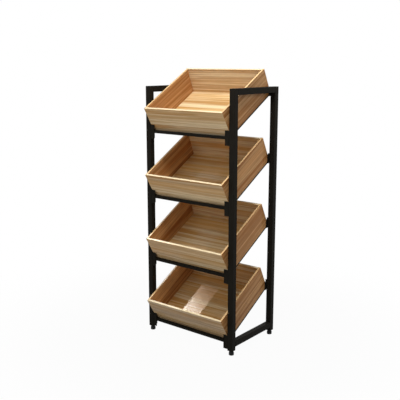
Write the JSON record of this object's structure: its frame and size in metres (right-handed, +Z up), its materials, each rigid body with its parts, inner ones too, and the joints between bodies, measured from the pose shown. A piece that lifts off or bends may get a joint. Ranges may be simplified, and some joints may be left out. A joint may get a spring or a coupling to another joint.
{
  "type": "produce display stand",
  "caption": "Free-standing produce display stand: black square-tube side frames joined by cross rails that hold forward-tilted wooden crates, on levelling feet.",
  "frame": {"origin": "on the floor, under the middle of the stand's overall box", "axes": "+Z up, +X to the right as seen from the front, -Y towards the front, where the crates tilt"},
  "size_m": [0.6, 0.4523, 1.4986],
  "materials": {
    "frame_coat": "satin black powder coat",
    "screw_black": "black zinc",
    "crate_wood": "satin lacquered laminated strips",
    "stem_steel": "black zinc",
    "glide_plastic": "matte moulded",
    "plug_plastic": "matte moulded"
  },
  "bodies": {
    "frame": {"left_front_upright": "frame_coat", "left_rear_upright": "frame_coat", "left_top_rail": "frame_coat", "left_bottom_rail": "frame_coat", "right_front_upright": "frame_coat", "right_rear_upright": "frame_coat", "right_top_rail": "frame_coat", "right_bottom_rail": "frame_coat", "top_plates": "frame_coat", "front_rail_bottom": "frame_coat", "front_rail_lower": "frame_coat", "front_rail_upper": "frame_coat", "front_rail_top": "frame_coat", "rear_rail_bottom": "frame_coat", "rear_rail_lower": "frame_coat", "rear_rail_upper": "frame_coat", "rear_rail_top": "frame_coat", "left_side_bars": "frame_coat", "right_side_bars": "frame_coat", "left_front_cleats": "frame_coat", "left_rear_cleats": "frame_coat", "right_front_cleats": "frame_coat", "right_rear_cleats": "frame_coat", "cleat_screws": "screw_black", "foot_plugs": "plug_plastic"},
    "crate_bottom": {"crate_bottom_floor": "crate_wood", "crate_bottom_front": "crate_wood", "crate_bottom_rear": "crate_wood", "crate_bottom_left": "crate_wood", "crate_bottom_right": "crate_wood"},
    "crate_lower": {"crate_lower_floor": "crate_wood", "crate_lower_front": "crate_wood", "crate_lower_rear": "crate_wood", "crate_lower_left": "crate_wood", "crate_lower_right": "crate_wood"},
    "crate_upper": {"crate_upper_floor": "crate_wood", "crate_upper_front": "crate_wood", "crate_upper_rear": "crate_wood", "crate_upper_left": "crate_wood", "crate_upper_right": "crate_wood"},
    "crate_top": {"crate_top_floor": "crate_wood", "crate_top_front": "crate_wood", "crate_top_rear": "crate_wood", "crate_top_left": "crate_wood", "crate_top_right": "crate_wood"},
    "foot_front_left": {"foot_front_left_stem": "stem_steel", "foot_front_left_glide": "glide_plastic"},
    "foot_rear_left": {"foot_rear_left_stem": "stem_steel", "foot_rear_left_glide": "glide_plastic"},
    "foot_front_right": {"foot_front_right_stem": "stem_steel", "foot_front_right_glide": "glide_plastic"},
    "foot_rear_right": {"foot_rear_right_stem": "stem_steel", "foot_rear_right_glide": "glide_plastic"}
  },
  "joints": [
    {"name": "crate_bottom_lift", "type": "slide", "parent": "frame", "child": "crate_bottom", "axis": [0, -0.5, 0.866], "range_m": [0, 0.13]},
    {"name": "crate_lower_lift", "type": "slide", "parent": "frame", "child": "crate_lower", "axis": [0, -0.5, 0.866], "range_m": [0, 0.13]},
    {"name": "crate_upper_lift", "type": "slide", "parent": "frame", "child": "crate_upper", "axis": [0, -0.5, 0.866], "range_m": [0, 0.13]},
    {"name": "crate_top_lift", "type": "slide", "parent": "frame", "child": "crate_top", "axis": [0, -0.5, 0.866], "range_m": [0, 0.3]},
    {"name": "foot_front_left_screw", "type": "slide", "parent": "frame", "child": "foot_front_left", "axis": [0, 0, -1], "range_m": [0, 0.012]},
    {"name": "foot_rear_left_screw", "type": "slide", "parent": "frame", "child": "foot_rear_left", "axis": [0, 0, -1], "range_m": [0, 0.012]},
    {"name": "foot_front_right_screw", "type": "slide", "parent": "frame", "child": "foot_front_right", "axis": [0, 0, -1], "range_m": [0, 0.012]},
    {"name": "foot_rear_right_screw", "type": "slide", "parent": "frame", "child": "foot_rear_right", "axis": [0, 0, -1], "range_m": [0, 0.012]}
  ]
}
